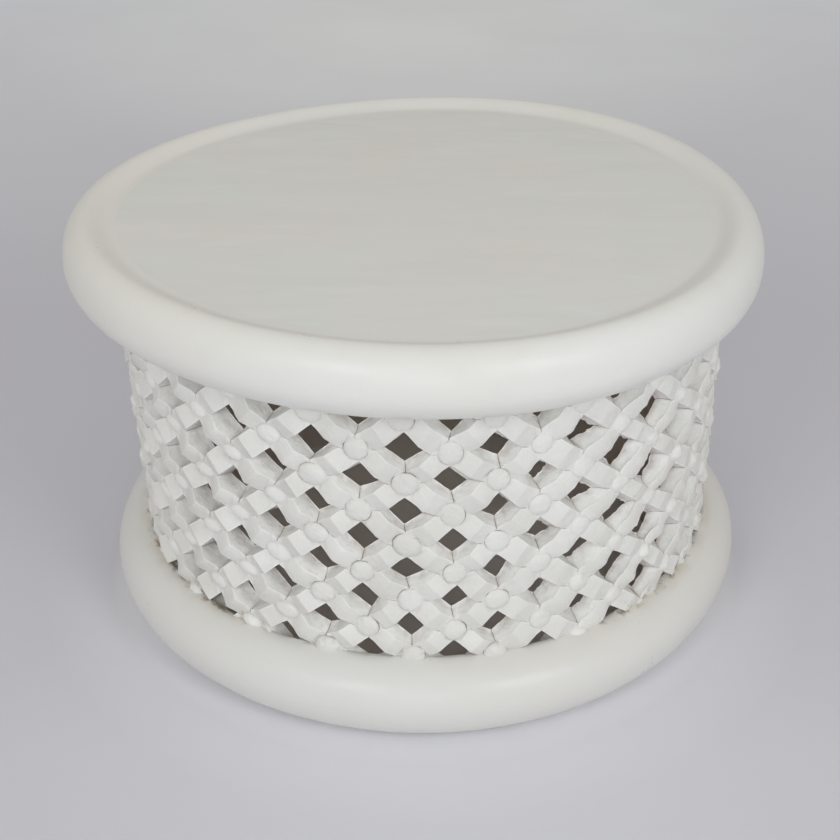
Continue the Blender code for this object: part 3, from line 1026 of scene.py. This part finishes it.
def wall_paint():
    """Brushed coat over the carving: dirt in kerfs and creases, painted shade deep in the openings, whiter
    worn edges, painted light on flanks, back edges and boss tops, bare dusty wood inside.
    """
    white, greyed, white_of_wear_and_painted_light = (0.84, 0.835, 0.80), (0.75, 0.74, 0.70), (0.94, 0.935, 0.91)
    smudged, mottled, dusty = (0.68, 0.63, 0.57), (0.70, 0.67, 0.62), (0.55, 0.50, 0.44)
    kerf_dirt_and_painted_shade, floor_dirt, bare_wood = (0.24, 0.16, 0.12), (0.27, 0.20, 0.14), (0.76, 0.68, 0.61)
    paint = Paint("wall_paint")
    clouds = paint.rise(paint.noise(24.0, detail=6.0), 0.35, 0.7)
    shade = paint.blend(clouds, white, greyed)
    # Worn edges whitened, and painted light on the flanks, the back edges and the boss tops
    shade = paint.blend(paint.times(paint.attribute("edge"), 0.9), shade, white_of_wear_and_painted_light)
    smudges = paint.rise(paint.noise(70.0, detail=5.0), 0.55, 0.8, 0.4)
    shade = paint.blend(paint.times(paint.attribute("dust"), smudges), shade, smudged)
    mottling = paint.rise(paint.noise(160.0, detail=5.0), 0.48, 0.68, 0.5)
    shade = paint.blend(paint.times(paint.attribute("dust"), mottling), shade, mottled)
    deposits = paint.rise(paint.noise(110.0), 0.36, 0.64, 0.75)
    shade = paint.blend(paint.times(paint.attribute("hollow"), deposits), shade, dusty)
    # Dark brown of dirt in kerfs and creases, and of painted shade deep in the openings
    patchy = paint.rise(paint.noise(85.0, detail=3.0), 0.32, 0.48)
    shade = paint.blend(paint.times(paint.attribute("grime"), patchy), shade, kerf_dirt_and_painted_shade)
    at_foot = paint.fall(paint.axis("Z"), 0.077, 0.088)
    crumbs = paint.times(at_foot, paint.rise(paint.noise(75.0), 0.54, 0.68, 0.85))
    shade = paint.blend(paint.times(crumbs, paint.sideways()), shade, floor_dirt)
    shade = paint.blend(paint.inward(), shade, bare_wood)
    fine = paint.times(paint.noise(330.0, detail=3.0), 0.45)
    finest = paint.times(paint.noise(800.0, detail=2.0), 0.15)
    relief = paint.plus(paint.times(paint.noise(110.0), 0.4), paint.plus(fine, finest))
    return paint.finished(shade, paint.rise(paint.noise(40.0), -0.6, 0.9, 0.9), relief, 0.0018)


def floor_paper():
    """Pale cool paper, with painted light round the foot ring, just before it and far behind it, painted warm
    light inside the drum and painted shade nearer the camera.
    """
    painted_light_before, plain, cool = (0.765, 0.76, 0.81), (0.668, 0.663, 0.713), (0.665, 0.665, 0.73)
    shaded, painted_light_by_foot, painted_warm_light_under_seat = (0.60, 0.60, 0.65), (0.90, 0.895, 0.94), (0.96, 0.89, 0.83)
    far, glow, distant = (0.90, 0.93, 1.0), (0.95, 0.98, 1.0), (0.88, 0.88, 0.90)
    clouded = (0.70, 0.71, 0.77)
    bright_spot, glow_spot = (0.0, -0.40, 0.0), (0.0, 1.95, 0.0)
    paint = Paint("floor_paper")
    depth = paint.axis("Y")
    reach = paint.distance()
    # Painted light just before the foot ring, over its contact shadow
    before = paint.vector("DISTANCE", paint.where, bright_spot)
    shade = paint.blend(paint.rise(before, 0.05, 0.42), painted_light_before, plain)
    shade = paint.blend(paint.rise(before, 0.42, 0.62), shade, cool)
    # Painted shade nearer the camera
    shade = paint.blend(paint.fall(depth, -0.40, -0.29, 0.35), shade, shaded)
    # Painted light round the foot ring, most beside it
    beside = paint.times(paint.fall(reach, 0.30, 0.37, 0.33), paint.fall(depth, -0.10, -0.02))
    shade = paint.blend(beside, shade, painted_light_by_foot)
    shade = paint.blend(paint.fall(reach, 0.275, 0.305), shade, painted_light_by_foot)
    # Painted warm light on the floor inside the drum
    shade = paint.blend(paint.fall(reach, 0.20, 0.24), shade, painted_warm_light_under_seat)
    # Painted light far behind the stool, and a painted glow round the glow spot
    shade = paint.blend(paint.rise(depth, 0.5, 2.3), shade, far)
    behind = paint.vector("DISTANCE", paint.where, glow_spot)
    shade = paint.blend(paint.fall(behind, 0.1, 0.9), shade, glow)
    shade = paint.blend(paint.rise(reach, 2.5, 8.0), shade, distant)
    shade = paint.blend(paint.rise(paint.noise(3.0), 0.3, 0.7, 0.2), shade, clouded)
    return paint.finished(shade, paint.rise(paint.noise(8.0), -1.5, 0.6, 0.95), paint.noise(300.0), 0.0001)


# Stage

def build_floor():
    near, far = -FLOOR_REACH, FLOOR_REACH
    corners = [(near, near, 0.0), (far, near, 0.0), (far, far, 0.0), (near, far, 0.0)]
    mesh = bpy.data.meshes.new("floor")
    mesh.from_pydata(corners, [], [(0, 1, 2, 3)])
    mesh.materials.append(floor_paper())
    floor = bpy.data.objects.new("floor", mesh)
    bpy.context.scene.collection.objects.link(floor)


def softbox(name, place_at, aim, size, power):
    """A square lamp of slightly cool white."""
    data = bpy.data.lights.new(name, "AREA")
    data.color = LAMP_COLOUR
    data.shape = "SQUARE"
    data.size = size
    data.energy = power
    lamp = bpy.data.objects.new(name, data)
    lamp.location = place_at
    lamp.rotation_euler = (Vector(aim) - Vector(place_at)).to_track_quat("-Z", "Y").to_euler()
    bpy.context.scene.collection.objects.link(lamp)


def build_lamps():
    """Two lamps before the stool, whose highlights lie on the front of the rim, and a weak low one."""
    softbox("left_key", (-0.78, -1.72, 1.25), (0.0, -0.1, 0.15), 0.65, 6.8)
    softbox("right_key", (1.06, -1.55, 1.25), (0.0, -0.1, 0.15), 0.65, 8.1)
    softbox("low_fill", (-0.1, -2.4, 0.66), (0.0, -0.2, 0.05), 0.8, 4.4)


def backdrop_share(tree):
    """1 for what the camera, a mirror or glass sees, 0 for what lights the stool."""
    path = tree.nodes.new("ShaderNodeLightPath")
    seen = path.outputs["Is Camera Ray"]
    for kind in ("Is Glossy Ray", "Is Transmission Ray"):
        either = tree.nodes.new("ShaderNodeMath")
        either.operation = "MAXIMUM"
        tree.links.new(seen, either.inputs[0])
        tree.links.new(path.outputs[kind], either.inputs[1])
        seen = either.outputs["Value"]
    return seen


def build_world():
    """Soft light from all round, warmer from below, which is itself seen as a plain grey backdrop."""
    world = bpy.data.worlds.new("studio")
    world.use_nodes = True
    tree = world.node_tree
    light = tree.nodes["Background"]
    light.inputs["Strength"].default_value = SKY_STRENGTH
    way = tree.nodes.new("ShaderNodeTexCoord")
    split = tree.nodes.new("ShaderNodeSeparateXYZ")
    sky = tree.nodes.new("ShaderNodeValToRGB")
    sky.color_ramp.elements[0].color = SKY_LOW
    sky.color_ramp.elements[1].color = SKY_HIGH
    backdrop = tree.nodes.new("ShaderNodeBackground")
    backdrop.inputs["Color"].default_value = BACKDROP
    mix = tree.nodes.new("ShaderNodeMixShader")
    for source, target in (
        (way.outputs["Generated"], split.inputs["Vector"]),
        (split.outputs["Z"], sky.inputs["Fac"]),
        (sky.outputs["Color"], light.inputs["Color"]),
        (backdrop_share(tree), mix.inputs["Fac"]),
        (light.outputs["Background"], mix.inputs[1]),
        (backdrop.outputs["Background"], mix.inputs[2]),
        (mix.outputs["Shader"], tree.nodes["World Output"].inputs["Surface"]),
    ):
        tree.links.new(source, target)
    bpy.context.scene.world = world


def build_camera():
    data = bpy.data.cameras.new("camera")
    data.sensor_width = SENSOR_WIDTH
    data.lens = SENSOR_WIDTH * FOCAL_PIXELS / FRAME_PIXELS
    camera = bpy.data.objects.new("camera", data)
    camera.location = CAMERA_PLACE
    camera.rotation_euler = (0.5 * math.pi - CAMERA_PITCH, 0.0, 0.0)
    bpy.context.scene.collection.objects.link(camera)
    bpy.context.scene.camera = camera


build_tray(tray_paint())
build_rim(rim_paint())
build_foot_ring(foot_paint())
build_wall(wall_paint())
build_floor()
build_world()
build_lamps()
build_camera()
bpy.context.scene.view_settings.view_transform = "Standard"
